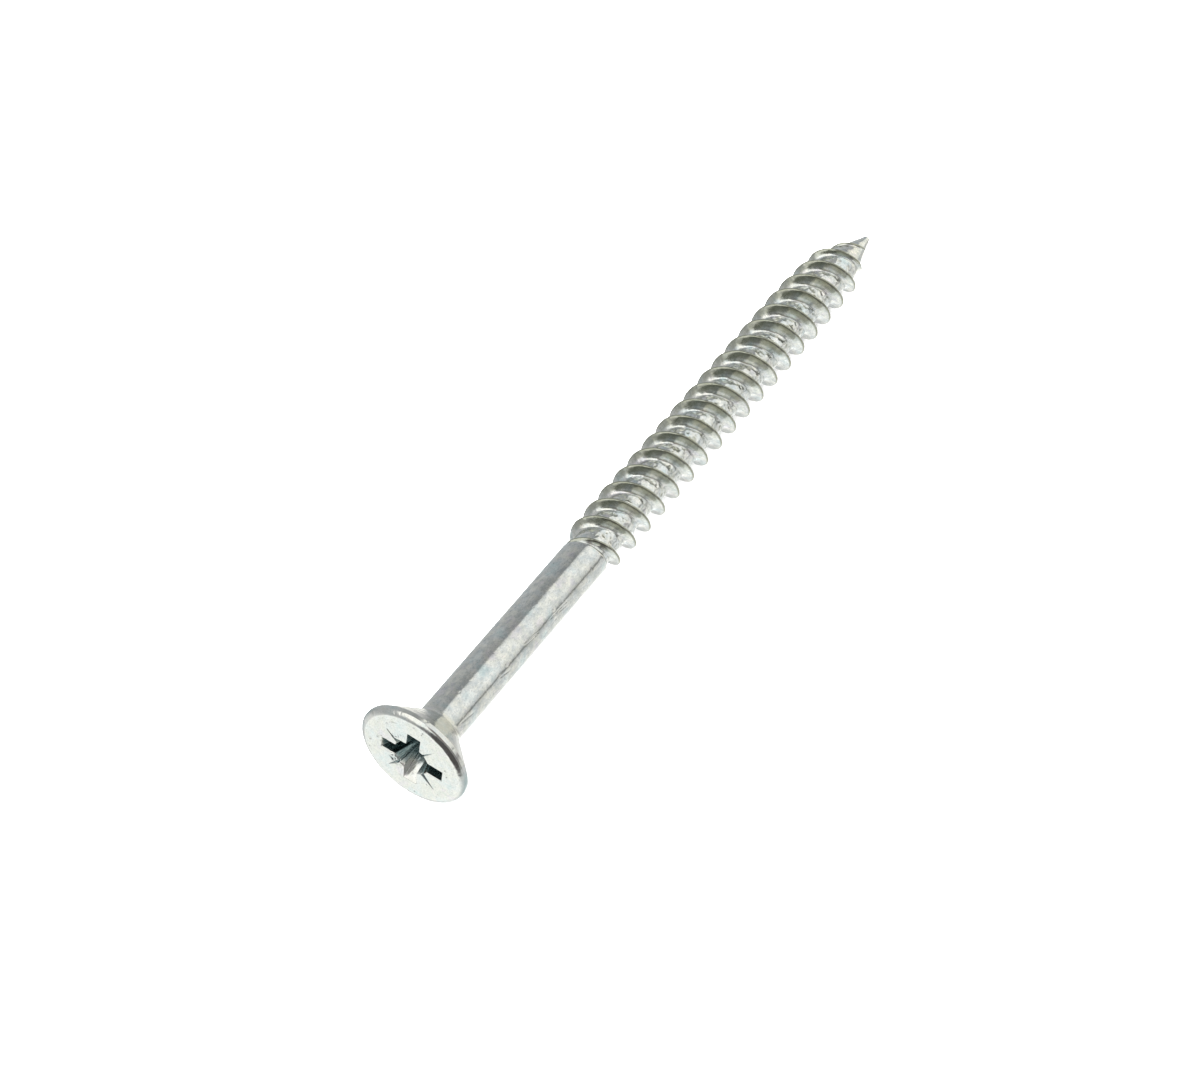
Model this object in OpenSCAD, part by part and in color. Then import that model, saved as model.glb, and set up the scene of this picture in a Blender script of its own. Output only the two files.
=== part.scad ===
// Twin-start wood screw with a countersunk head and a cross recess.
// The screw lies along +X: its head face is the plane X = 0 and its point is at X = screw_length.
// The steel is one forging. Each module below is one zone of it, and the zones meet face to face.

/* [Overall] */
// Length from the flat head face to the tip of the point
screw_length = 70; // [55:1:90]
// Plain length from the head face to the first of the thread
thread_start = 25; // [10:0.5:30]

/* [Head] */
// Diameter of the countersunk head
head_d = 9.8; // [9.2:0.1:10.4]
// Included angle of the countersink, in degrees
countersink_angle = 90; // [84:1:96]
// Straight rim between the rounded edge of the face and the countersink
head_land = 0.32; // [0.1:0.02:0.5]
// Radius that rounds the edge of the face
face_edge_r = 0.4; // [0.1:0.05:0.5]
// Radius of the fillet between the countersink and the shank
neck_r = 0.8; // [0.4:0.1:2]

/* [Drive recess] */
// Span across two opposite wings at the head face
recess_span = 5.7; // [5:0.1:6]
// Width of a wing
wing_w = 1.2; // [0.9:0.05:1.4]
// Depth of the recess at its centre
recess_depth = 2.8; // [2.4:0.1:3]
// Diameter of the round middle of the recess at the head face
recess_core_d = 3.3; // [2.6:0.1:3.4]
// Turn of the wings about the screw's axis, in degrees
recess_turn = 6; // [0:1:89]
// Distance from the axis to the outer end of each tick mark
tick_reach = 3.3; // [2.6:0.1:3.6]

/* [Shank] */
// Diameter of the plain shank
shank_d = 3.86; // [3.6:0.02:4.2]
// Chamfer where the shank steps down to the thread's core
shank_chamfer = 0.2; // [0.05:0.05:0.4]

/* [Thread] */
// Diameter of the thread's core
core_d = 3.36; // [3:0.02:3.5]
// Diameter over the ridges where the thread reaches its full height
thread_d = 5.1; // [4.6:0.05:5.4]
// Diameter over the ridges where they start to taper to the point
thread_d_max = 5.35; // [4.6:0.05:5.6]
// Distance between neighbouring ridges along the axis, which is half the lead
ridge_pitch = 2.225; // [1.9:0.025:2.6]
// Angle between the two flanks of a ridge, in degrees
flank_angle = 36; // [24:2:44]
// Width of the flat along a ridge's crest
crest_w = 0.14; // [0.08:0.02:0.2]
// Direction of the first ridge at the start of the thread, in degrees from +Y towards +Z
thread_turn = 74; // [0:1:359]
// Steps in one turn of a ridge
ridge_steps = 40; // [24:4:48]

/* [Point] */
// Length of the cone at the end of the core
point_length = 4.4; // [3:0.2:6]
// Length over which the ridges taper to the point
taper_length = 11; // [7:0.5:14]
// Radius of the blunted tip
tip_r = 0.2; // [0.1:0.05:0.4]

/* [Hidden] */
zinc_face = [0.86, 0.87, 0.86];
zinc_shank = [0.74, 0.75, 0.77];
zinc_thread = [0.68, 0.69, 0.66];
overcut = 0.1;

head_r = head_d / 2;
shank_r = shank_d / 2;
core_r = core_d / 2;
rim_h = face_edge_r + head_land;
countersink_half = countersink_angle / 2;
// The countersink and the shank would meet here if they had no fillet
countersink_end = rim_h + (head_r - shank_r) / tan(countersink_half);
neck_end = countersink_end + neck_r * tan(countersink_half / 2);

// The wings' ends and the middle slope in by this angle, and the floor is a shallow cone
wing_slope = 26.5;
floor_drop = 0.5;
floor_z = recess_depth - floor_drop;
core_shrink = 0.55;
// A tick mark is a V groove of this width and depth where it leaves the recess
tick_w = 0.34;
tick_depth = 0.3;
tick_run = tick_reach - recess_core_d / 4;

lead = 2 * ridge_pitch;
cone_start = screw_length - point_length;
point_half = atan((core_r - tip_r) / (point_length - tip_r));

// Where the ridges begin, end and change height, as distances from the head face
ridge_start = thread_start + 0.15 * ridge_pitch;
run_in_end = ridge_start + 0.7 * ridge_pitch;
taper_start = screw_length - taper_length;
shoulder_x = screw_length - 0.45 * taper_length;
ridge_end = screw_length - 0.3 * point_length;
least_height = 0.06;
crest_line = [
    [ridge_start, core_r + least_height],
    [run_in_end, thread_d / 2],
    [taper_start, thread_d_max / 2],
    [shoulder_x, 0.93 * thread_d_max / 2],
    [ridge_end, core_radius(ridge_end) + least_height]
];

$fn = 96;

// Points on an arc of radius r about [cx, cy], from angle a0 to angle a1
function arc(cx, cy, r, a0, a1, steps = 12) =
    [for (i = [0 : steps]) let (a = a0 + (a1 - a0) * i / steps) [cx + r * cos(a), cy + r * sin(a)]];

// Radius of the bare core and of the point's cone at distance x from the head face
function core_radius(x) = x < cone_start ? core_r : core_r - (x - cone_start) * tan(point_half);

// The half outline of the head, as [radius, distance from the face]
function head_outline() = concat(
    [[0, 0]],
    arc(head_r - face_edge_r, face_edge_r, face_edge_r, -90, 0),
    [[head_r, rim_h]],
    arc(shank_r + neck_r, neck_end, neck_r, 180 + countersink_half, 180),
    [[0, neck_end]]
);

// Turns a shape that was drawn along +Z so that it lies along +X
module along_x() {
    rotate([0, 90, 0]) children();
}

// Two opposite wings: parallel sides, and ends that slope in towards the floor
module wing_pair() {
    mouth_half = recess_span / 2 + overcut * tan(wing_slope);
    floor_half = recess_span / 2 - floor_z * tan(wing_slope);
    rotate([90, 0, 0])
        linear_extrude(height = wing_w, center = true)
            polygon([
                [-mouth_half, -overcut],
                [mouth_half, -overcut],
                [floor_half, floor_z],
                [0, recess_depth],
                [-floor_half, floor_z]
            ]);
}

// A V groove midway between two wings, deepest at the recess, that runs out towards the rim
module tick_mark() {
    translate([tick_reach, 0, 0])
        rotate([0, -atan(tick_depth / tick_run), 0])
            translate([-tick_run, 0, 0])
                rotate([45, 0, 0])
                    cube([tick_run, tick_w / sqrt(2), tick_w / sqrt(2)]);
}

// The cross recess, cut down from the face along +Z
module drive_recess() {
    for (turn = [0, 90])
        rotate([0, 0, turn]) wing_pair();
    translate([0, 0, -overcut])
        cylinder(d1 = recess_core_d, d2 = core_shrink * recess_core_d, h = floor_z + overcut);
    for (turn = [45 : 90 : 315])
        rotate([0, 0, turn]) tick_mark();
}

module head() {
    color(zinc_face)
        along_x()
            rotate([0, 0, recess_turn])
                difference() {
                    rotate_extrude() polygon(head_outline());
                    drive_recess();
                }
}

module shank() {
    color(zinc_shank)
        translate([neck_end, 0, 0])
            along_x() {
                cylinder(r = shank_r, h = thread_start - shank_chamfer - neck_end);
                translate([0, 0, thread_start - shank_chamfer - neck_end])
                    cylinder(r1 = shank_r, r2 = shank_r - shank_chamfer, h = shank_chamfer);
            }
}

module thread_core() {
    color(zinc_thread)
        translate([thread_start, 0, 0])
            along_x() cylinder(r = core_r, h = cone_start - thread_start);
}

// The corners of a ridge's section at distance x, as [distance, radius]: a foot, the crest, a foot
function ridge_section(x) =
    let (crest_r = lookup(x, crest_line),
         foot = crest_w / 2 + (crest_r - core_radius(x)) * tan(flank_angle / 2))
    [
        [x - foot, core_radius(x - foot)],
        [x - crest_w / 2, crest_r],
        [x + crest_w / 2, crest_r],
        [x + foot, core_radius(x + foot)]
    ];

// A right-hand helical ridge that winds from ridge_start to ridge_end
module ridge(turn) {
    steps = ceil((ridge_end - ridge_start) / lead * ridge_steps);
    xs = [for (i = [0 : steps]) ridge_start + (ridge_end - ridge_start) * i / steps];
    points = [
        for (x = xs)
            let (a = turn + 360 * (x - thread_start) / lead)
                for (p = ridge_section(x)) [p[0], p[1] * cos(a), p[1] * sin(a)]
    ];
    corners = 4;
    sides = [
        for (i = [0 : steps - 1], k = [0 : corners - 1])
            let (next = (k + 1) % corners,
                 a = corners * i + k,
                 b = corners * i + next,
                 c = corners * (i + 1) + next,
                 d = corners * (i + 1) + k)
                for (triangle = [[a, b, c], [a, c, d]]) triangle
    ];
    last = corners * steps;
    ends = [[2, 1, 0], [3, 2, 0], [last, last + 1, last + 2], [last, last + 2, last + 3]];
    polyhedron(points = points, faces = concat(sides, ends));
}

module thread_ridge_a() {
    color(zinc_thread) ridge(thread_turn);
}

module thread_ridge_b() {
    color(zinc_thread) ridge(thread_turn + 180);
}

// The core's cone, with its tip rounded by a ball that touches the cone
module gimlet_point() {
    ball_x = point_length - tip_r;
    color(zinc_thread)
        translate([cone_start, 0, 0])
            along_x() {
                cylinder(r1 = core_r, r2 = tip_r * cos(point_half), h = ball_x + tip_r * sin(point_half));
                translate([0, 0, ball_x]) sphere(r = tip_r);
            }
}

head();
shank();
thread_core();
thread_ridge_a();
thread_ridge_b();
gimlet_point();
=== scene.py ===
import math

import bpy
import numpy as np
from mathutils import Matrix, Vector, noise


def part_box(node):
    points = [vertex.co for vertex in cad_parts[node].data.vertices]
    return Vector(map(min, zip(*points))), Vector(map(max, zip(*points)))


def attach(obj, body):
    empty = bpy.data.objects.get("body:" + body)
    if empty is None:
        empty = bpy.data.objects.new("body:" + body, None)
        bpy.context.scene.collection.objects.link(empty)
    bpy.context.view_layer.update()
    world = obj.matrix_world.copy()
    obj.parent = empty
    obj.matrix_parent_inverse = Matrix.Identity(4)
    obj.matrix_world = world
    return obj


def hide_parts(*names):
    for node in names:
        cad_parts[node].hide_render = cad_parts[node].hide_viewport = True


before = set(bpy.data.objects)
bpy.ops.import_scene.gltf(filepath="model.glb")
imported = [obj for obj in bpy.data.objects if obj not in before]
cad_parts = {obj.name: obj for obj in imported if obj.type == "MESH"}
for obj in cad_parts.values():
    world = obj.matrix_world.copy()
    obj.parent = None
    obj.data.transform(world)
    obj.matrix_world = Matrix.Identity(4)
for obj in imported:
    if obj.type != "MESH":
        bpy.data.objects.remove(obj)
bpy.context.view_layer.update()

# The screw lies along +X, from the head face at X = 0 to the point. Lengths are in millimetres
# until a mesh is made, and angles round the screw go from +Y towards +Z, in degrees.
MM = 0.001


def top_corner(node):
    """The highest corner of a CAD node's box, in millimetres."""
    return np.array(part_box(node)[1]) / MM


# ---- Sizes from the frame ----
HEAD_R = top_corner("head")[1]
NECK_END = top_corner("head")[0]
SHANK_R = top_corner("shank")[2]
SHANK_END = top_corner("shank")[0]
CORE_R = top_corner("thread_core")[2]
CONE_START = top_corner("thread_core")[0]
TIP_X = top_corner("gimlet_point")[0]

# ---- The head's shape ----
EDGE_R = 0.4
RIM_END = 0.72
RIM_CORNER_R = 0.12
CONE_HALF = 45
NECK_R = 0.8
EDGE_WIDE = 0.52
FACE_R = HEAD_R - EDGE_WIDE

# ---- The drive recess: each wing's angle and reach ----
WINGS = ((5.5, 2.81), (98, 2.84), (187, 2.92), (274.5, 2.90))
WING_HALF = 0.6
WING_SLOPE = math.tan(math.radians(26.5))
WALL_DRAFT = 0.02
MIDDLE_R = 1.62
MIDDLE_SLOPE = 0.32
FLOOR_X = 2.3
RECESS_DEPTH = 2.8
MOUTH_R = 0.06
# Each tick mark's angle, half width and depth at its inner end
TICKS = ((46, 0.13, 0.20), (136, 0.09, 0.07), (231, 0.17, 0.30), (316, 0.12, 0.16))
TICK_FROM = 1.72
TICK_TO = 3.3
# The corner of the recess that a slipping driver has pushed back
WORN_CORNER = 51
WORN_BACK = 0.34
WORN_SPREAD = 13
# Each tick mark also notches the recess's corner by this much, over this many degrees
NOTCH = 0.1
NOTCH_SPREAD = 3.2
# Rounding of the wings' corners, and of the corners between them
WING_ROUND = 0.12
INNER_ROUND = 0.08
# Where the face is burred: angle, radius and height
BURRS = ((322, 2.0, 0.14), (60, 2.2, 0.08), (20, 3.0, 0.04), (55, 3.7, 0.05), (128, 1.9, 0.05))
BURR_RIPPLES = ((1.0, 0.26, 6),)
# Small dents in the face: a seed, how many, and the ranges of their radii and depths
FACE_DENTS = (7, 26, (0.05, 0.16), (0.012, 0.05))
DENTS_FROM = 2.0
# How far the worn face falls away at its outer edge
FACE_DROP = 0.05

# ---- How the meshes are divided ----
SHANK_ROWS, SHANK_COLUMNS = 350, 200
CORE_ROWS, CORE_COLUMNS = 480, 132
POINT_ROWS, POINT_COLUMNS = 70, 96
# The head's rings, from the middle of the recess outwards
CENTRE_RINGS = 12
WALL_RINGS = 24
MOUTH_TURNS = (22, 45, 68, 90)
FACE_RINGS = 46
EDGE_RINGS = 15

# ---- Unevenness ----
# Ripples in each surface, layer by layer: their height, their width and a seed
FACE_RIPPLES = ((0.008, 0.6, 1), (0.004, 0.24, 2))
FLUTES = ((0.014, 0.09, 3),)
RIM_RIPPLES = ((0.016, 0.7, 4), (0.007, 0.25, 5))
DRAWN_RIPPLES = ((0.004, 0.5, 21),)
SHANK_RIPPLES = ((0.0022, 0.3, 22),)
LIP_RIPPLES = ((0.03, 0.6, 24),)
ROOT_RIPPLES = ((0.065, 0.5, 32), (0.034, 0.24, 33))
POINT_RIPPLES = ((0.03, 0.5, 41), (0.012, 0.22, 42))
# Pits scattered over each surface: a seed, how many, and the ranges of their radii and depths
RIM_PITS = (11, 60, (0.05, 0.13), (0.015, 0.05))
SHANK_PITS = (23, 110, (0.05, 0.14), (0.006, 0.03))
ROOT_PITS = (31, 900, (0.06, 0.15), (0.025, 0.105))
# Scratches on the shank: place, angle, length, lean from the axis and depth
SCRATCHES = (
    (18.4, 154, 2.4, 3, 0.040),
    (18.9, 161, 1.6, 9, 0.040),
    (17.6, 166, 1.3, -4, 0.040),
    (14.6, 148, 1.6, 8, 0.030),
    (10.6, 157, 1.4, 12, 0.035),
    (5.4, 158, 1.8, 10, 0.040),
    (4.9, 168, 1.0, 20, 0.035),
    (12.2, 128, 1.2, 35, 0.018),
    (20.5, 122, 0.8, 50, 0.020),
)
# Fine ones: a seed, how many, and the ranges of their lengths, leans and depths
FINE_SCRATCHES = (29, 40, (0.3, 1.4), (-70, 70), (0.004, 0.012))
SCRATCH_HALF = 0.06

# ---- The thread ----
PITCH = 2.225
LEAD = 2 * PITCH
RIDGE_TURN = 74
FLANK = math.tan(math.radians(18))
CREST_HALF = 0.09
END_SLANT = 0.4
SLANT_TURN = 206
SHOULDER = 0.3
TIP_R = 0.34
# Each ridge's crest, along the screw: its place and its radius
CREST = (
    (24.2, 1.72), (24.6, 1.94), (25.3, 2.04), (26.0, 2.32), (26.7, 2.50), (28.5, 2.55),
    (59.0, 2.675), (62.2, 2.56), (64.5, 2.42), (66.8, 1.56), (68.7, 0.66),
)
CREST_ROUND = 0.17
FOOT_FILLET = 0.42
STEPS_PER_TURN = 150
# The two ridges: piece, CAD node, turn from the first one, start and seed
RIDGES = (
    ("thread_ridge_first", "thread_ridge_a", 0, 24.2, 51),
    ("thread_ridge_second", "thread_ridge_b", 180, 25.1, 61),
)
# The end of the screw is bent sideways, towards this angle and by this much at the tip
BEND_TURN = 206
BEND_FROM = 58
BEND = 0.45


def toward(angle):
    """The unit vector across the screw at an angle round it."""
    return np.array([0, math.cos(math.radians(angle)), math.sin(math.radians(angle))])


def angle_gap(a, b):
    """Difference between two angles, from -180 to 180 degrees."""
    return (a - b + 180) % 360 - 180


def smooth_step(low, high, value):
    t = np.clip((value - low) / (high - low), 0, 1)
    return t * t * (3 - 2 * t)


def smooth_min(a, b, blend):
    h = np.maximum(blend - np.abs(a - b), 0) / blend
    return np.minimum(a, b) - h * h * blend / 4


def smooth_max(a, b, blend):
    return -smooth_min(-a, -b, blend)


def ripple(points, size, seed):
    """Smooth noise from about -1 to 1 whose bumps are about this many millimetres across."""
    flat = points.reshape(-1, 3) / size + seed * 17.3
    values = [noise.noise(Vector(p)) for p in flat]
    return np.array(values).reshape(points.shape[:-1])


def ripples(points, layers):
    """Layers of smooth noise added up, each with a height, a width and a seed."""
    return sum(height * ripple(points, size, seed) for height, size, seed in layers)


def rings_at(x, radius, angle):
    """Points of rings round the screw: every argument is an array of rows by columns."""
    turn = np.radians(angle)
    return np.stack(np.broadcast_arrays(x, radius * np.cos(turn), radius * np.sin(turn)), -1)


def bent(points):
    """The points with the screw's bent end."""
    past = np.maximum(points[..., 0] - BEND_FROM, 0) / (TIP_X - BEND_FROM)
    return points + BEND * (past**2)[..., None] * toward(BEND_TURN)


def craters(x, arc, girth, seed, count, size, depth):
    """Small pits scattered over an unrolled surface of this girth, as a depth at each point."""
    rng = np.random.default_rng(seed)
    pitted = np.zeros(np.broadcast(x, arc).shape)
    for _ in range(count):
        cx = rng.uniform(x.min(), x.max())
        ca = rng.uniform(0, girth)
        r = rng.uniform(*size)
        stretch = rng.uniform(0.6, 1.6)
        d = rng.uniform(*depth)
        across = (arc - ca + girth / 2) % girth - girth / 2
        away = ((x - cx) / r) ** 2 + (across * stretch / r) ** 2
        pitted = np.maximum(pitted, d * np.exp(-away))
    return pitted


# ---------------------------------------------------------------- meshes


def solid(name, rings, wear, painted_shade, material, node):
    """A closed solid from rings of points, with its ends capped, that stands for a CAD node.

    wear and grime, from 0 to 1 at each point, say where the plating is rubbed bright and where painted
    shade darkens it.
    """
    rows, columns = rings.shape[:2]
    points = np.concatenate([rings.reshape(-1, 3), rings[0].mean(0)[None], rings[-1].mean(0)[None]])
    here = np.arange(rows * columns).reshape(rows, columns)
    beside = np.roll(here, -1, axis=1)
    quads = np.stack([here[:-1], beside[:-1], beside[1:], here[1:]], -1).reshape(-1, 4)
    first = np.stack([beside[0], here[0], np.full(columns, rows * columns)], -1)
    last = np.stack([here[-1], beside[-1], np.full(columns, rows * columns + 1)], -1)
    faces = quads.tolist() + first.tolist() + last.tolist()
    triangles = np.concatenate([quads[:, :3], quads[:, [0, 2, 3]], first, last])
    a, b, c = (points[triangles[:, k]] for k in range(3))
    if np.einsum("ij,ij->i", a, np.cross(b, c)).sum() < 0:
        faces = [face[::-1] for face in faces]
    mesh = bpy.data.meshes.new(name)
    mesh.from_pydata((points * MM).tolist(), [], faces)
    mesh.update()
    mesh.polygons.foreach_set("use_smooth", [True] * len(mesh.polygons))
    mesh.set_sharp_from_angle(angle=math.radians(55))
    for title, amount in (("wear", wear), ("painted_shade", painted_shade)):
        attribute = mesh.attributes.new(title, "FLOAT", "POINT")
        amount = np.broadcast_to(amount, (rows, columns))
        amount = np.append(amount.reshape(-1), [amount[0].mean(), amount[-1].mean()])
        attribute.data.foreach_set("value", amount.astype(np.float32))
    mesh.materials.append(material)
    piece = bpy.data.objects.new(name, mesh)
    bpy.context.scene.collection.objects.link(piece)
    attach(piece, "root")
    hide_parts(node)
    return piece


def recess_outline(angle, grow, depth):
    """Radius of the recess at each angle, at a depth, with its walls moved out by grow."""
    damage = WORN_BACK * np.exp(-(angle_gap(angle, WORN_CORNER) / WORN_SPREAD) ** 2)
    notch = sum(NOTCH * np.exp(-(angle_gap(angle, turn) / NOTCH_SPREAD) ** 2) for turn, _, _ in TICKS)
    radius = MIDDLE_R - MIDDLE_SLOPE * depth + grow + notch
    radius = radius + damage * (1 - smooth_step(0.1, 1.2, depth))
    for turn, reach in WINGS:
        gap = np.radians(np.clip(np.abs(angle_gap(angle, turn)), 0.5, 80))
        end = (reach - WING_SLOPE * depth + grow) / np.cos(gap)
        side = (WING_HALF - WALL_DRAFT * depth + grow) / np.sin(gap)
        radius = smooth_max(radius, smooth_min(end, side, WING_ROUND), INNER_ROUND)
    return radius


def tick_marks(angle, radius):
    """Depth of the four wedge-shaped tick marks in the face."""
    depths = 0 * radius
    for turn, half, depth in TICKS:
        along = np.clip((radius - TICK_FROM) / (TICK_TO - TICK_FROM), 0, 1)
        inner = smooth_step(TICK_FROM - 0.12, TICK_FROM + 0.04, radius)
        across = np.abs(radius * np.sin(np.radians(angle_gap(angle, turn))))
        facing = np.abs(angle_gap(angle, turn)) < 40
        width = half * (1 - along) + 0.001
        wedge = np.clip(1.3 - 1.3 * across / width, 0, 1)
        depths = depths + facing * inner * depth * (1 - along) * wedge
    return depths


def face_relief(points, radius):
    """How far the face lies below its plane: a worn outer edge, dents and ripples."""
    relief = FACE_DROP * (radius / FACE_R) ** 8
    relief = relief + ripples(points, FACE_RIPPLES)
    seed, count, sizes, dent_depths = FACE_DENTS
    rng = np.random.default_rng(seed)
    for _ in range(count):
        turn, out = rng.uniform(0, 360), rng.uniform(DENTS_FROM, FACE_R)
        size, depth = rng.uniform(*sizes), rng.uniform(*dent_depths)
        centre = out * toward(turn)
        away = ((points[..., 1] - centre[1]) ** 2 + (points[..., 2] - centre[2]) ** 2) / size**2
        relief = relief + depth * np.exp(-away)
    return relief


def head_columns():
    """Angles of the head's columns, closer together at the wings' corners and the tick marks."""
    marks = (0, 9, 25, 40, 50, 65, 81, 90)
    counts = (7, 30, 14, 26, 14, 30, 7)
    spans = zip(marks[:-1], marks[1:], counts, strict=True)
    quarter = np.concatenate([np.linspace(a, b, n, endpoint=False) for a, b, n in spans])
    return np.concatenate([quarter + 6 + 90 * k for k in range(4)])


def make_head(material):
    """The head, as rings from the middle of the recess over the face and rim down to the neck."""
    angle = head_columns()
    none = np.zeros_like(angle)
    radii, depths, wear = [], [], []

    def ring(radius, depth, worn=0.0):
        radii.append(radius + none)
        depths.append(depth + none)
        wear.append(worn + none)

    # The recess: its pointed floor, its walls and its rounded mouth
    for share in np.linspace(0.05, 1, CENTRE_RINGS):
        ring(share * recess_outline(angle, 0, FLOOR_X), RECESS_DEPTH - (RECESS_DEPTH - FLOOR_X) * share)
    for depth in np.linspace(FLOOR_X, MOUTH_R, WALL_RINGS)[1:]:
        ring(recess_outline(angle, 0, depth), depth)
    for turn in np.radians(MOUTH_TURNS):
        depth = MOUTH_R * (1 - math.sin(turn))
        ring(recess_outline(angle, MOUTH_R * (1 - math.cos(turn)), depth), depth, 1.0)
    mouth = radii[-1]
    face_from = len(radii) - len(MOUTH_TURNS) - 1
    # The face and its rounded edge
    for share in np.linspace(0, 1, FACE_RINGS)[1:]:
        ring(mouth + (FACE_R - mouth) * share, 0, math.exp(-share * 18) + smooth_step(0.9, 1, share))
    face_to = len(radii)
    for turn in np.radians(np.linspace(80, 0, EDGE_RINGS)):
        ring(FACE_R + EDGE_WIDE * math.cos(turn) ** 1.5, EDGE_R * (1 - math.sin(turn) ** 1.25), 0.6)
    # The rim, the cone and the neck
    corner_x = RIM_END - RIM_CORNER_R * math.tan(math.radians(CONE_HALF / 2))
    for x in np.linspace(EDGE_R, corner_x, 5)[1:-1]:
        ring(HEAD_R, x, 0.5)
    for turn in np.radians(np.linspace(0, CONE_HALF, 6)):
        ring(HEAD_R - RIM_CORNER_R * (1 - math.cos(turn)), corner_x + RIM_CORNER_R * math.sin(turn), 0.8)
    cone_r, cone_x = radii[-1][0], depths[-1][0]
    neck_r = SHANK_R + NECK_R * (1 - math.cos(math.radians(CONE_HALF)))
    neck_x = NECK_END - NECK_R * math.sin(math.radians(CONE_HALF))
    for share in np.linspace(0, 1, 20)[1:-1]:
        ring(cone_r + (neck_r - cone_r) * share, cone_x + (neck_x - cone_x) * share)
    for turn in np.radians(np.linspace(CONE_HALF, 0, 12)):
        ring(SHANK_R + NECK_R * (1 - math.cos(turn)), NECK_END - NECK_R * math.sin(turn))

    radius, depth, wear = np.array(radii), np.array(depths), np.array(wear)
    turned = np.broadcast_to(angle, radius.shape)
    points = rings_at(depth, radius, turned)
    rows = np.arange(len(radius))[:, None]
    on_face = (rows >= face_from) & (rows < face_to + EDGE_RINGS)
    ticks = tick_marks(turned, radius)
    relief = face_relief(points, np.minimum(radius, FACE_R))
    relief = relief * np.clip(1 - depth / EDGE_R, 0, 1) + ticks
    for turn, out, amount in BURRS:
        near = ((radius - out) / 0.4) ** 2 + (angle_gap(turned, turn) / 24) ** 2
        relief = relief + amount * np.exp(-near) * ripples(points, BURR_RIPPLES)
    # Fine flutes run down the recess's walls: noise that's drawn out along the depth
    flutes = ripples(rings_at(none + 0.2 * depth, 1.0 + 0 * radius, turned), FLUTES)
    in_recess = (rows < face_from) & (rows >= CENTRE_RINGS - 1)
    outside = rows >= face_to
    uneven = ripples(points, RIM_RIPPLES)
    arc = np.radians(turned) * HEAD_R
    pits = craters(depth, arc, 2 * math.pi * HEAD_R, *RIM_PITS)
    settled = 1 - smooth_step(NECK_END - 0.5, NECK_END, depth)
    # Painted shade darkens the recess below its mouth and the tick marks in the face; the lower wing,
    # where light falls in, is left lighter, and the one to its right nearly so
    lit_wings = np.exp(-(angle_gap(turned, WINGS[3][0]) / 36) ** 4)
    lit_wings = lit_wings + 0.9 * np.exp(-(angle_gap(turned, WINGS[2][0]) / 16) ** 4)
    recess_shade = smooth_step(0.0, 0.4, depth) * (1 - lit_wings * (1 - smooth_step(1.2, 2.0, depth)))
    painted_shade = np.where(rows < face_from, recess_shade, on_face * np.clip(ticks / 0.05, 0, 1))
    # Painted shade on the rim: on the side that lies down, and in one place higher up
    rim = outside * smooth_step(0.05, 0.40, depth) * (1 - smooth_step(RIM_END, RIM_END + 0.2, depth))
    shade_below = 0.95 * smooth_step(0.4, 0.0, np.sin(np.radians(turned)))
    shade_patch = 0.8 * np.exp(-(angle_gap(turned, 30) / 18) ** 2)
    painted_shade = np.maximum(painted_shade, rim * np.maximum(shade_below, shade_patch))
    radius = radius + in_recess * flutes + outside * (uneven - pits) * settled
    points = rings_at(depth + on_face * relief, radius, turned)
    return solid("screw_head", points, wear, painted_shade, material, "head")


def shank_end(angle):
    """Where the plain shank ends, which slants with the thread."""
    return SHANK_END + END_SLANT * np.cos(np.radians(angle - SLANT_TURN))


def scratches(x, angle):
    """Depth of the scratches along the plain shank: a few placed ones and a scatter of fine ones."""
    seed, count, *ranges = FINE_SCRATCHES
    rng = np.random.default_rng(seed)
    marks = list(SCRATCHES)
    for _ in range(count):
        where = rng.uniform(NECK_END + 0.5, SHANK_END - 0.5), rng.uniform(0, 360)
        marks.append((*where, *(rng.uniform(*between) for between in ranges)))
    depths = 0 * x * angle
    for at_x, turn, length, lean, depth in marks:
        across = np.radians(angle_gap(angle, turn)) * SHANK_R
        lean = math.radians(lean)
        along = (x - at_x) * math.cos(lean) + across * math.sin(lean)
        beside = across * math.cos(lean) - (x - at_x) * math.sin(lean)
        away = (beside / SCRATCH_HALF) ** 2 + (2 * along / length) ** 4
        depths = np.maximum(depths, depth * np.exp(-away))
    return depths


def make_shank(material):
    """The plain shank, with its rounded shoulder down to the core."""
    angle = np.linspace(0, 360, SHANK_COLUMNS, endpoint=False)
    share = np.linspace(0, 1, SHANK_ROWS)[:, None]
    shoulder_x = shank_end(angle) - SHOULDER
    x = NECK_END + share * (shoulder_x - NECK_END)
    radius = SHANK_R + 0 * x
    turn = np.radians(np.linspace(0, 90, 10)[1:])[:, None]
    x = np.concatenate([x, shoulder_x + SHOULDER * np.sin(turn)])
    shoulder = SHANK_R - (SHANK_R - CORE_R - 0.01) * (1 - np.cos(turn))
    radius = np.concatenate([radius, shoulder + 0 * angle])
    points = rings_at(x, radius, angle + 0 * x)
    girth = 2 * math.pi * SHANK_R
    arc = np.radians(angle) * SHANK_R + 0 * x
    ends = smooth_step(NECK_END, NECK_END + 0.4, x)
    drawn = points * np.array([0.18, 1, 1])
    uneven = ripples(drawn, DRAWN_RIPPLES) + ripples(points, SHANK_RIPPLES)
    pits = craters(x, arc, girth, *SHANK_PITS) + scratches(x, angle)
    lip = ripples(points, LIP_RIPPLES) * smooth_step(SHANK_END - 1.2, SHANK_END, x)
    points = rings_at(x, radius + ends * (uneven - pits) + lip, angle + 0 * x)
    wear = 0.7 * smooth_step(SHANK_END - 1.0, SHANK_END, x)
    return solid("plain_shank", points, wear, 0, material, "shank")


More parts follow.
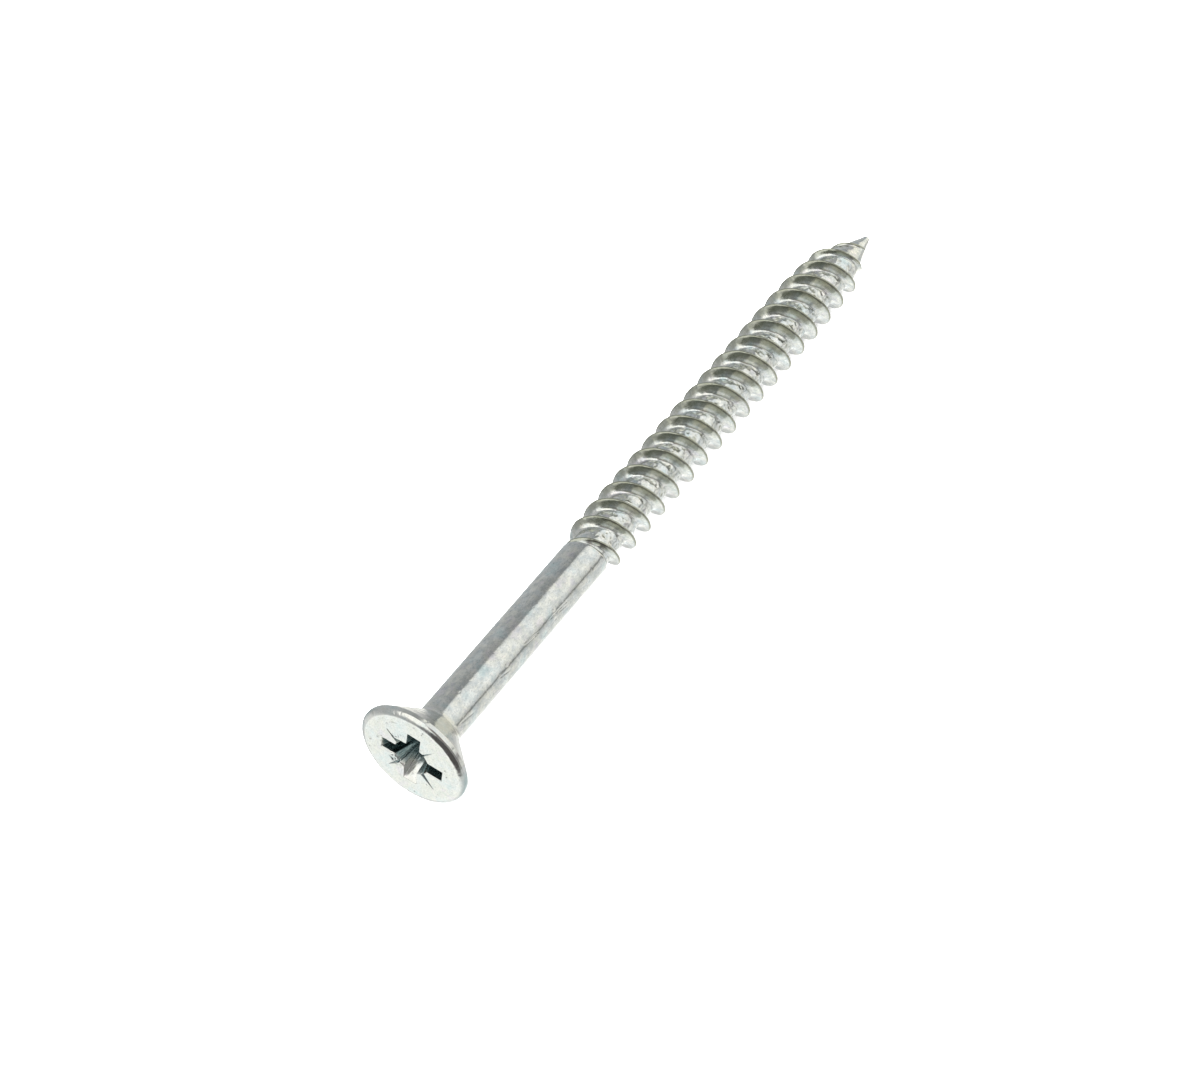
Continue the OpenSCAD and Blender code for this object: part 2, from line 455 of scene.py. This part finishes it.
def bare_radius(x):
    """Radius of the core, its cone and its rounded tip, without the ridges."""
    slope = (CORE_R - TIP_R) / (TIP_X - TIP_R - CONE_START)
    cone = CORE_R - slope * (x - CONE_START)
    radius = smooth_min(CORE_R + 0 * x, cone, 0.25)
    ball = np.sqrt(np.maximum(TIP_R**2 - np.maximum(x - (TIP_X - TIP_R), 0) ** 2, 0))
    return np.where(x > TIP_X - TIP_R, np.minimum(radius, ball), radius)


def ridge_phase(x, angle):
    """Distance along the screw from the middle of the nearest ridge, in millimetres."""
    behind = (x - SHANK_END - (angle - RIDGE_TURN) / 360 * LEAD) % PITCH
    return np.minimum(behind, PITCH - behind)


def root_texture(x, angle, points):
    """The rolled root between ridges: laps, pits and ripples, as a change of radius."""
    arc = np.radians(angle) * CORE_R
    pits = craters(x, arc, 2 * math.pi * CORE_R, *ROOT_PITS)
    return smooth_step(0.45, 0.75, ridge_phase(x, angle)) * (ripples(points, ROOT_RIPPLES) - pits)


def make_core(material):
    """The round core that the ridges stand on."""
    angle = np.linspace(0, 360, CORE_COLUMNS, endpoint=False)
    share = np.linspace(0, 1, CORE_ROWS)[:, None]
    x = shank_end(angle) + share * (CONE_START - shank_end(angle))
    angle = angle + 0 * x
    radius = bare_radius(x)
    points = rings_at(x, radius, angle)
    ends = smooth_step(SHANK_END, SHANK_END + 0.8, x)
    ends = ends * (1 - smooth_step(CONE_START - 0.5, CONE_START, x))
    hollows = ends * root_texture(x, angle, points)
    # Painted shade in the root's pits and hollows, by how deep they are
    painted_shade = 0.9 * smooth_step(0.015, 0.07, -hollows)
    points = bent(rings_at(x, radius + hollows, angle))
    return solid("thread_root", points, 0, painted_shade, material, "thread_core")


def make_point(material):
    """The cone and the rounded tip."""
    angle = np.linspace(0, 360, POINT_COLUMNS, endpoint=False)
    tip_from = TIP_X - TIP_R
    tip_turns = np.radians(np.linspace(0, 88, 12))[1:]
    cone_x = np.linspace(CONE_START, tip_from, POINT_ROWS)
    x = np.concatenate([cone_x, tip_from + TIP_R * np.sin(tip_turns)])
    x = x[:, None]
    angle = angle + 0 * x
    radius = bare_radius(x) + 0 * angle
    points = rings_at(x, radius, angle)
    grown = smooth_step(CONE_START, CONE_START + 0.6, x)
    rough = ripples(points, POINT_RIPPLES)
    radius = radius + grown * rough * np.minimum(radius / 0.6, 1)
    points = bent(rings_at(x, radius, angle))
    return solid("screw_point", points, 0, 0, material, "gimlet_point")


def crest_radius(x):
    """Radius of a ridge's crest along the screw."""
    places, radii = zip(*CREST, strict=True)
    return np.interp(x, places, radii)


def make_ridge(name, node, turn, start, seed, material):
    """One ridge: its profile, foot to crest to foot, swept along a helix."""
    end = top_corner(node)[0] - 0.3
    steps = int((end - start) / LEAD * STEPS_PER_TURN)
    x = np.linspace(start, end, steps)[:, None]
    angle = turn + 360 * (x - SHANK_END) / LEAD
    root = bare_radius(x)
    height = np.maximum(crest_radius(x) - root, 0.03)
    line = rings_at(x, root + height, angle)
    height = height + ripples(line, ((0.018, 1.1, seed), (0.010, 0.35, seed + 1)))
    foot = CREST_HALF + FLANK * (height + FOOT_FILLET)
    crest = (0, 0.07, 0.13, 0.17, 0.21, 0.27)
    flank = np.linspace(0.36, 0.72, 4)
    fillet = np.linspace(0.78, 1, 5)
    side = foot * np.concatenate([crest, flank, fillet])
    slope = height - (side - CREST_HALF) / FLANK
    rise = smooth_min(height + 0 * side, smooth_max(0 * side, slope, FOOT_FILLET), CREST_ROUND)
    rise = np.concatenate([rise, -0.05 + 0 * x], 1)
    side = np.concatenate([side, foot + 0.02], 1)
    rise = np.concatenate([rise[:, :0:-1], rise], 1)
    side = np.concatenate([-side[:, :0:-1], side], 1)
    lean = 0.03 * ripple(line, 1.6, seed + 2) * rise
    points = rings_at(x + side + lean, bare_radius(x + side) + rise, angle + 0 * side)
    rough = ripples(points, ((0.008, 0.3, seed + 3), (0.004, 0.14, seed + 4)))
    radius = bare_radius(x + side) + rise + rough * (rise > 0)
    points = rings_at(x + side + lean + rough * np.sign(side), radius, angle + 0 * side)
    # Painted shade, olive grey, from halfway up where the ridge faces up, and a painted dark line all
    # round at its crest
    level = rise / height
    upward = smooth_step(0.1, 0.7, np.sin(np.radians(angle)))
    painted_shade = 0.84 * smooth_step(0.25, 0.5, level) * (0.12 + 0.88 * upward)
    painted_shade = painted_shade + (1 - painted_shade) * smooth_step(0.88, 0.97, level)
    return solid(name, bent(points), 0, painted_shade, material, node)


# ---------------------------------------------------------------- materials


class Nodes:
    """Adds shader nodes to a tree and links them."""

    def __init__(self, tree):
        self.tree = tree
        tree.nodes.clear()

    def add(self, kind, settings=None, **inputs):
        node = self.tree.nodes.new("ShaderNode" + kind)
        for name, value in (settings or {}).items():
            setattr(node, name, value)
        for name, value in inputs.items():
            self.put(node.inputs[name.replace("_", " ")], value)
        return node

    def put(self, socket, value):
        if isinstance(value, bpy.types.NodeSocket):
            self.tree.links.new(value, socket)
        else:
            socket.default_value = value

    def math(self, operation, a, b=0.0):
        node = self.add("Math", {"operation": operation})
        self.put(node.inputs[0], a)
        self.put(node.inputs[1], b)
        return node.outputs[0]

    def between(self, value, low, high, to_low=0.0, to_high=1.0):
        node = self.add("MapRange", {"interpolation_type": "SMOOTHSTEP"}, Value=value)
        ends = {"From Min": low, "From Max": high, "To Min": to_low, "To Max": to_high}
        for name, number in ends.items():
            node.inputs[name].default_value = number
        return node.outputs[0]

    def mix(self, share, a, b, blend="MIX"):
        node = self.add("Mix", {"data_type": "RGBA", "blend_type": blend})
        self.put(node.inputs[0], share)
        self.put(node.inputs[6], a)
        self.put(node.inputs[7], b)
        return node.outputs[2]

    def noise(self, where, size, detail=2.0, roughness=0.5):
        """Noise whose bumps are about this many millimetres across."""
        scale = 1 / (size * MM)
        node = self.add("TexNoise", Vector=where, Scale=scale, Detail=detail, Roughness=roughness)
        return node.outputs["Fac"]

    def ramp(self, value, stops):
        node = self.add("ValToRGB", Fac=value)
        ramp = node.color_ramp
        while len(ramp.elements) < len(stops):
            ramp.elements.new(0.5)
        for element, (place, colour) in zip(ramp.elements, stops, strict=True):
            element.position = place
            element.color = (*colour, 1)
        return node.outputs["Color"]


# Faint tints of the plating: blue-green, none, cream, pink and grey-blue
TINTS = (
    (0.30, (0.84, 0.96, 0.98)),
    (0.44, (1.0, 1.0, 1.0)),
    (0.55, (1.0, 0.985, 0.92)),
    (0.66, (0.99, 0.93, 0.97)),
    (0.76, (0.94, 0.95, 1.0)),
)
SPECKLE = (0.34, 0.35, 0.35, 1)
WORN = (0.78, 0.77, 0.74, 1)
PIT = (0.17, 0.17, 0.16, 1)
PIT_SPACING = 0.7
PIT_SHARE = 0.18
PIT_REACH = 0.14
PIT_DEPTH = 0.012
PIT_WANDER = 0.06
PIT_WANDER_SIZE = 0.16


def zinc(name, cool, warm, shade_colour, rough, grain, grain_size, stretch):
    """Bright zinc plate: mottled grey with a faint cream, pink and blue-green tint, grain and pits, with
    painted shade mixed in from a point attribute.
    """
    material = bpy.data.materials.new(name)
    material.use_nodes = True
    n = Nodes(material.node_tree)
    place = n.add("TexCoord").outputs["Object"]
    along = n.add("Mapping", Vector=place, Scale=(stretch, 1, 1)).outputs["Vector"]
    wear = n.add("Attribute", {"attribute_name": "wear"}).outputs["Fac"]
    painted_shade = n.add("Attribute", {"attribute_name": "painted_shade"}).outputs["Fac"]

    mottle = n.noise(along, 0.55, 5, 0.7)
    colour = n.ramp(mottle, ((0.36, cool), (0.64, warm)))
    tint = n.ramp(n.noise(place, 1.7, 4, 0.6), TINTS)
    colour = n.mix(0.8, colour, tint, "MULTIPLY")
    speckle = n.noise(along, 0.13, 4, 0.75)
    colour = n.mix(n.between(speckle, 0.32, 0.52, 0.42, 0.0), colour, SPECKLE)
    # Pits of uneven size and outline, in about one cell in six
    wander = 1 / (PIT_WANDER_SIZE * MM)
    shift = n.add("TexNoise", Vector=place, Scale=wander, Detail=2.0).outputs["Color"]
    shift = n.add("VectorMath", {"operation": "SCALE"}, Vector=shift)
    shift.inputs["Scale"].default_value = PIT_WANDER * MM
    shifted = n.add("VectorMath", {"operation": "ADD"}, Vector=place)
    n.put(shifted.inputs[1], shift.outputs["Vector"])
    spacing = 1 / (PIT_SPACING * MM)
    cells = n.add("TexVoronoi", Vector=shifted.outputs["Vector"], Scale=spacing, Randomness=1.0)
    picked = n.add("SeparateColor", Color=cells.outputs["Color"]).outputs
    reach = n.between(picked[0], 0.0, PIT_SHARE, PIT_REACH, 0.0)
    pit = n.between(n.math("SUBTRACT", reach, cells.outputs["Distance"]), 0.0, 0.05)
    colour = n.mix(n.math("MULTIPLY", pit, 0.6), colour, PIT)
    colour = n.mix(n.math("MULTIPLY", wear, 0.3), colour, WORN)
    # Painted shade: the shade colour, mixed in by the point attribute and broken up by noise
    shade_share = n.math("MULTIPLY", painted_shade, n.between(n.noise(place, 0.35, 3, 0.6), 0.3, 0.6, 0.75, 1.0))
    colour = n.mix(shade_share, colour, (*shade_colour, 1))

    low, high = rough
    cloud = n.noise(place, 0.5, 4, 0.6)
    roughness = n.between(cloud, 0.3, 0.7, low, high)
    roughness = n.math("SUBTRACT", roughness, n.math("MULTIPLY", wear, 0.4 * low))

    fine = n.add("Bump", Height=n.noise(along, grain_size, 4, 0.7), Strength=1.0, Distance=grain * MM)
    dents = n.add("Bump", {"invert": True}, Height=pit, Strength=1.0, Distance=PIT_DEPTH * MM)
    n.put(dents.inputs["Normal"], fine.outputs[0])

    shader = n.add("BsdfPrincipled", Base_Color=colour, Roughness=roughness, Normal=dents.outputs[0])
    shader.inputs["Metallic"].default_value = 1.0
    n.add("OutputMaterial", Surface=shader.outputs[0])
    return material


def pale_floor():
    material = bpy.data.materials.new("pale_floor")
    material.use_nodes = True
    n = Nodes(material.node_tree)
    place = n.add("TexCoord").outputs["Object"]
    colour = n.ramp(n.noise(place, 40, 2), ((0.3, (0.90, 0.90, 0.90)), (0.7, (0.93, 0.93, 0.93))))
    shader = n.add("BsdfPrincipled", Base_Color=colour)
    shader.inputs["Roughness"].default_value = 0.9
    n.add("OutputMaterial", Surface=shader.outputs[0])
    return material


# ---------------------------------------------------------------- studio

# The photo's viewpoint: the azimuth goes from -Y towards +X, and lengths are in millimetres
CAMERA_AZIMUTH = math.radians(-57.143)
CAMERA_ELEVATION = math.radians(48.239)
CAMERA_DISTANCE = 306.12
CAMERA_AIM = np.array([27.40, 0.28, 0.14])
CAMERA_LENS = 112.43


def from_camera():
    """The unit vector from the screw back to the camera."""
    flat = math.cos(CAMERA_ELEVATION)
    across = math.sin(CAMERA_AZIMUTH) * flat
    return np.array([across, -math.cos(CAMERA_AZIMUTH) * flat, math.sin(CAMERA_ELEVATION)])


def make_camera():
    data = bpy.data.cameras.new("camera")
    data.lens = CAMERA_LENS
    data.sensor_width = 36
    data.clip_start = 0.01
    data.clip_end = 20
    camera = bpy.data.objects.new("camera", data)
    back = Vector(from_camera())
    camera.location = Vector(CAMERA_AIM * MM) + back * CAMERA_DISTANCE * MM
    camera.rotation_mode = "QUATERNION"
    camera.rotation_quaternion = (-back).to_track_quat("-Z", "Y")
    bpy.context.scene.collection.objects.link(camera)
    bpy.context.scene.camera = camera


# The room round the screw, as strips parallel to it: the angle that each starts from and its
# light. The sweep of the floor is below the horizon, a grey wall at +Y and a softbox at -Y, which
# ends sharply overhead. A thin dark gap parts it from the floor.
STRIPS = (
    (-180, 0.30), (-177, 0.34), (-172, 0.78), (-163, 0.88), (-145, 0.97), (-118, 1.03),
    (-104, 1.08), (-92, 1.30), (-82, 1.36), (-70, 0.76), (-50, 0.60), (-26, 0.58), (0, 0.57),
    (30, 0.55), (46, 0.50), (66, 0.43), (84, 0.38), (88.5, 0.94), (98, 1.10), (125, 1.15),
    (148, 1.13), (160, 1.00), (169, 0.88), (175, 0.74), (178.5, 0.34), (180, 0.30),
)
# Zones of the room: azimuth and elevation from +X, radius and blur in degrees, light, and its
# tint. The first seven lie ahead of the head and the last three past the point. Later ones lie
# over earlier ones.
ZONES = (
    (160, -56, 22, 8, 1.32, (0.97, 1.0, 0.975)),
    (-85, 40, 17, 8, 1.30, (1.0, 0.985, 0.93)),
    (148, 64, 20, 7, 1.50, (1.0, 1.0, 0.98)),
    (165, 31, 30, 5, 1.40, (1.0, 1.0, 0.96)),
    (-108, 4, 20, 14, 0.28, (1.0, 0.98, 0.97)),
    (-148, 34, 19, 6, 0.30, (1.0, 0.90, 0.84)),
    (-164, -14, 28, 8, 0.11, (1.0, 0.95, 0.95)),
    (16, -32, 8, 4, 0.46, (1.0, 1.0, 1.0)),
    (26, -38, 8, 2, 1.15, (1.0, 0.99, 0.93)),
    (-24, -27, 12, 8, 0.62, (1.0, 1.0, 0.96)),
)
# The tint of the wall's strips and of all the others
WALL_FROM, WALL_TO = -70, 86
WALL_TINT = (0.965, 1.0, 1.015)
BOX_TINT = (0.985, 1.0, 0.98)
# Light and tint where the softbox reaches round past the point, in the room ahead of the head and
# on that room's floor
PAST_POINT = (1.14, (1.0, 0.985, 0.90))
ROOM_AHEAD = (0.56, (0.98, 1.0, 1.0))
FLOOR_AHEAD = (0.95, (0.98, 1.0, 0.99))
BRIGHTEST = 1.6
LAMP_ENERGY = 9
LAMP_ANGLE = math.radians(110)


def glow(level, tint=(1, 1, 1)):
    """A colour of the world's light, as a share of the brightest."""
    return (*(level / BRIGHTEST * share for share in tint), 1)


def make_world():
    """A soft studio: strips along the screw, and softboxes and dark corners ahead of its head."""
    world = bpy.data.worlds.new("studio")
    world.use_nodes = True
    bpy.context.scene.world = world
    n = Nodes(world.node_tree)
    look = n.add("TexCoord").outputs["Generated"]
    axes = n.add("SeparateXYZ", Vector=look).outputs

    def beyond(direction, degrees, blur):
        """1 within this many degrees of a direction, fading over blur degrees on each side."""
        node = n.add("VectorMath", {"operation": "DOT_PRODUCT"})
        n.put(node.inputs[0], look)
        node.inputs[1].default_value = Vector(direction).normalized()
        inner = math.cos(math.radians(max(degrees - blur, 0)))
        outer = math.cos(math.radians(degrees + blur))
        return n.between(node.outputs["Value"], outer, inner)

    turn = n.math("ARCTAN2", axes["Z"], axes["Y"])
    share = n.math("ADD", n.math("DIVIDE", turn, 2 * math.pi), 0.5)
    stops = []
    for angle, level in STRIPS:
        tint = WALL_TINT if WALL_FROM < angle < WALL_TO else BOX_TINT
        stops.append((0.5 + angle / 360, glow(level, tint)[:3]))
    colour = n.ramp(share, stops)
    # The softbox's cream end past the point
    past_point = n.between(axes["X"], 0.62, 0.80)
    past_point = n.math("MULTIPLY", past_point, n.between(axes["Y"], 0.09, 0.02))
    colour = n.mix(past_point, colour, glow(*PAST_POINT))
    # Ahead of the head: a mid grey room over a paler floor
    floor_ahead = n.between(axes["Z"], -0.30, -0.60)
    room = n.mix(floor_ahead, glow(*ROOM_AHEAD), glow(*FLOOR_AHEAD))
    colour = n.mix(n.between(axes["X"], 0.10, -0.25), colour, room)
    for azimuth, elevation, degrees, blur, level, tint in ZONES:
        flat = math.cos(math.radians(elevation))
        across = flat * math.sin(math.radians(azimuth))
        middle = (flat * math.cos(math.radians(azimuth)), across, math.sin(math.radians(elevation)))
        colour = n.mix(beyond(middle, degrees, blur), colour, glow(level, tint))
    straight = n.add("LightPath").outputs["Is Camera Ray"]
    colour = n.mix(straight, colour, glow(1.0))
    background = n.add("Background", Color=colour)
    background.inputs["Strength"].default_value = BRIGHTEST
    n.add("OutputWorld", Surface=background.outputs[0])


def make_floor():
    """A plain pale floor that touches the head's rim and the thread."""
    rest_x = 59.0
    fall = (HEAD_R - crest_radius(rest_x)) / (rest_x - RIM_END / 2)
    half, steps = 2000.0, 8
    side = np.linspace(-half, half, steps + 1)
    points = [(x, y, (-HEAD_R + fall * (x - RIM_END / 2))) for x in side for y in side]
    row = steps + 1
    faces = [(i * row + j, (i + 1) * row + j, (i + 1) * row + j + 1, i * row + j + 1)
             for i in range(steps) for j in range(steps)]
    mesh = bpy.data.meshes.new("floor")
    mesh.from_pydata([tuple(MM * c for c in p) for p in points], [], faces)
    mesh.materials.append(pale_floor())
    floor = bpy.data.objects.new("floor", mesh)
    floor.visible_glossy = False
    bpy.context.scene.collection.objects.link(floor)


def make_lamp():
    """A broad overhead lamp that whitens the floor and isn't mirrored in the metal."""
    data = bpy.data.lights.new("overhead", "SUN")
    data.energy = LAMP_ENERGY
    data.angle = LAMP_ANGLE
    lamp = bpy.data.objects.new("overhead", data)
    lamp.rotation_mode = "QUATERNION"
    lamp.rotation_quaternion = Vector((-0.2, -0.15, 1)).to_track_quat("Z", "Y")
    lamp.visible_glossy = False
    bpy.context.scene.collection.objects.link(lamp)


make_camera()
make_world()
make_floor()
make_lamp()

head_zinc = zinc(
    "zinc_head", cool=(0.62, 0.65, 0.64), warm=(0.72, 0.72, 0.70), shade_colour=(0.33, 0.41, 0.42),
    rough=(0.12, 0.26), grain=0.0024, grain_size=0.14, stretch=1,
)
shank_zinc = zinc(
    "zinc_shank", cool=(0.53, 0.56, 0.57), warm=(0.79, 0.79, 0.76), shade_colour=(0.4, 0.4, 0.4),
    rough=(0.05, 0.14), grain=0.0042, grain_size=0.16, stretch=0.75,
)
thread_zinc = zinc(
    "zinc_thread", cool=(0.57, 0.61, 0.62), warm=(0.85, 0.85, 0.83), shade_colour=(0.34, 0.35, 0.28),
    rough=(0.10, 0.22), grain=0.0035, grain_size=0.16, stretch=1,
)

make_head(head_zinc)
make_shank(shank_zinc)
make_core(thread_zinc)
for name, node, turn, start, seed in RIDGES:
    make_ridge(name, node, RIDGE_TURN + turn, start, seed, thread_zinc)
make_point(thread_zinc)

bpy.context.scene.view_settings.view_transform = "Standard"
